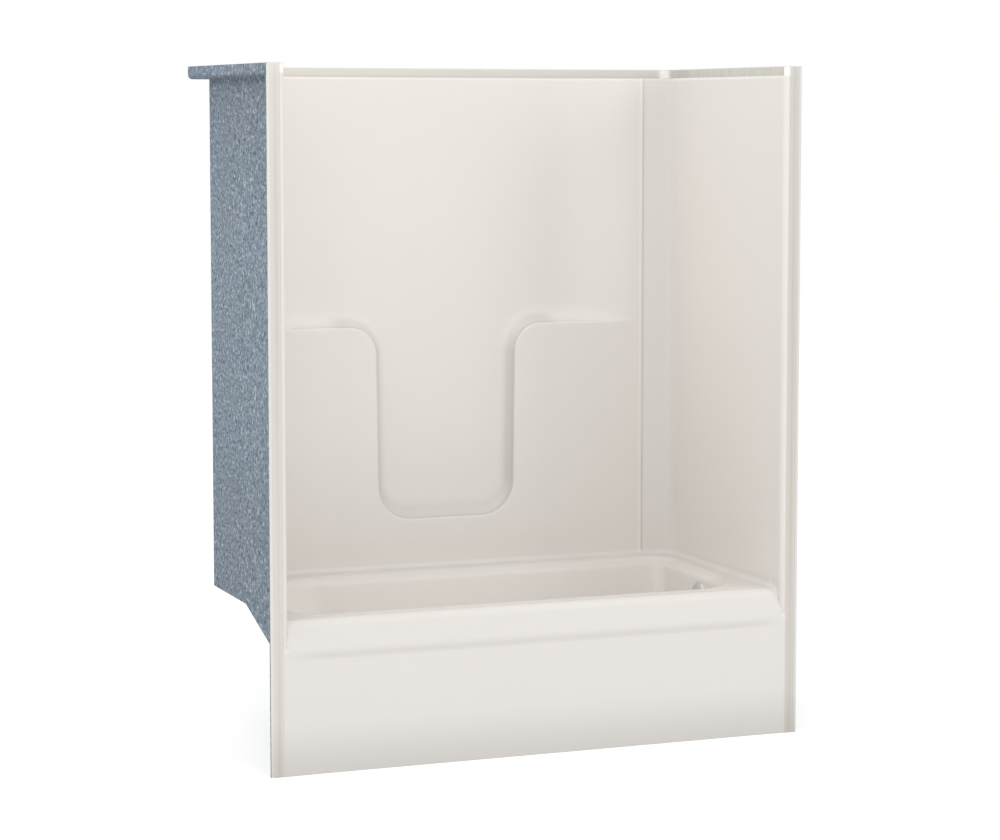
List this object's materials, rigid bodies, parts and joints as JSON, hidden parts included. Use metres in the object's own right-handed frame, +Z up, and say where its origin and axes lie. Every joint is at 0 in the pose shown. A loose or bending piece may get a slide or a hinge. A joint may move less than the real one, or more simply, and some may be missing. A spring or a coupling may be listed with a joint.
{
  "type": "tub and shower unit",
  "caption": "Alcove bathtub moulded together with its three shower walls, with a front apron, nailing flanges and a trip lever waste.",
  "frame": {"origin": "middle of the unit's footprint, on the floor", "axes": "+X to the user's right facing the unit, towards the drain end; +Y to the rear wall; +Z up"},
  "size_m": [1.524, 0.762, 1.829],
  "materials": {
    "biscuit_gloss": "smooth gloss moulding",
    "blue_grey_laminate": "rough chopped-fibre back",
    "plain_board": "bare",
    "chrome": "polished",
    "brass": "satin",
    "black_pipe": "moulded",
    "black_rubber": "matt"
  },
  "bodies": {
    "shell": {"apron_rail": "plain_board", "back_wall_face": "biscuit_gloss", "back_wall_laminate": "blue_grey_laminate", "bathing_well_face": "biscuit_gloss", "bathing_well_laminate": "blue_grey_laminate", "branch_slip_nut": "black_pipe", "drain_flange": "chrome", "drain_gasket": "black_rubber", "drain_shoe": "black_pipe", "elbow_slip_nut": "black_pipe", "front_apron_face": "biscuit_gloss", "front_apron_laminate": "blue_grey_laminate", "front_plate_screw": "chrome", "front_rim_face": "biscuit_gloss", "front_rim_laminate": "blue_grey_laminate", "left_apron_post": "plain_board", "left_end_wall_face": "biscuit_gloss", "left_end_wall_laminate": "blue_grey_laminate", "left_floor_bearer": "plain_board", "left_front_flange_face": "biscuit_gloss", "left_front_flange_laminate": "blue_grey_laminate", "left_top_flange_face": "biscuit_gloss", "left_top_flange_laminate": "blue_grey_laminate", "left_wall_backing_board": "plain_board", "lever_pivot_pin": "chrome", "middle_apron_post": "plain_board", "middle_floor_bearer": "plain_board", "overflow_elbow": "black_pipe", "overflow_gasket": "black_rubber", "overflow_plate": "chrome", "overflow_tube": "black_pipe", "rear_plate_screw": "chrome", "rear_top_flange_face": "biscuit_gloss", "rear_top_flange_laminate": "blue_grey_laminate", "right_apron_post": "plain_board", "right_end_wall_face": "biscuit_gloss", "right_end_wall_laminate": "blue_grey_laminate", "right_floor_bearer": "plain_board", "right_front_flange_face": "biscuit_gloss", "right_front_flange_laminate": "blue_grey_laminate", "right_top_flange_face": "biscuit_gloss", "right_top_flange_laminate": "blue_grey_laminate", "right_wall_backing_board": "plain_board", "rim_deck_face": "biscuit_gloss", "rim_deck_laminate": "blue_grey_laminate", "shoe_slip_nut": "black_pipe", "strainer_cover": "chrome", "strainer_screw": "chrome", "tee_slip_nut": "black_pipe", "waste_tee": "black_pipe", "waste_tube": "black_pipe", "well_floor_board": "plain_board"},
    "trip_lever": {"trip_lever": "chrome"},
    "plunger": {"lift_rod": "brass", "drain_plunger": "brass"}
  },
  "joints": [
    {"name": "lever_pivot", "type": "hinge", "parent": "shell", "child": "trip_lever", "pos_m": [0.6383, -0.028, 0.3366], "axis": [0, 1, 0], "range_deg": [0, 56]},
    {"name": "plunger_lift", "type": "slide", "parent": "shell", "child": "plunger", "axis": [0, 0, 1], "range_m": [-0.0393, 0]}
  ],
  "couplings": [
    {"joint": "plunger_lift", "follows": "lever_pivot", "m_per_rad": -0.0401}
  ]
}
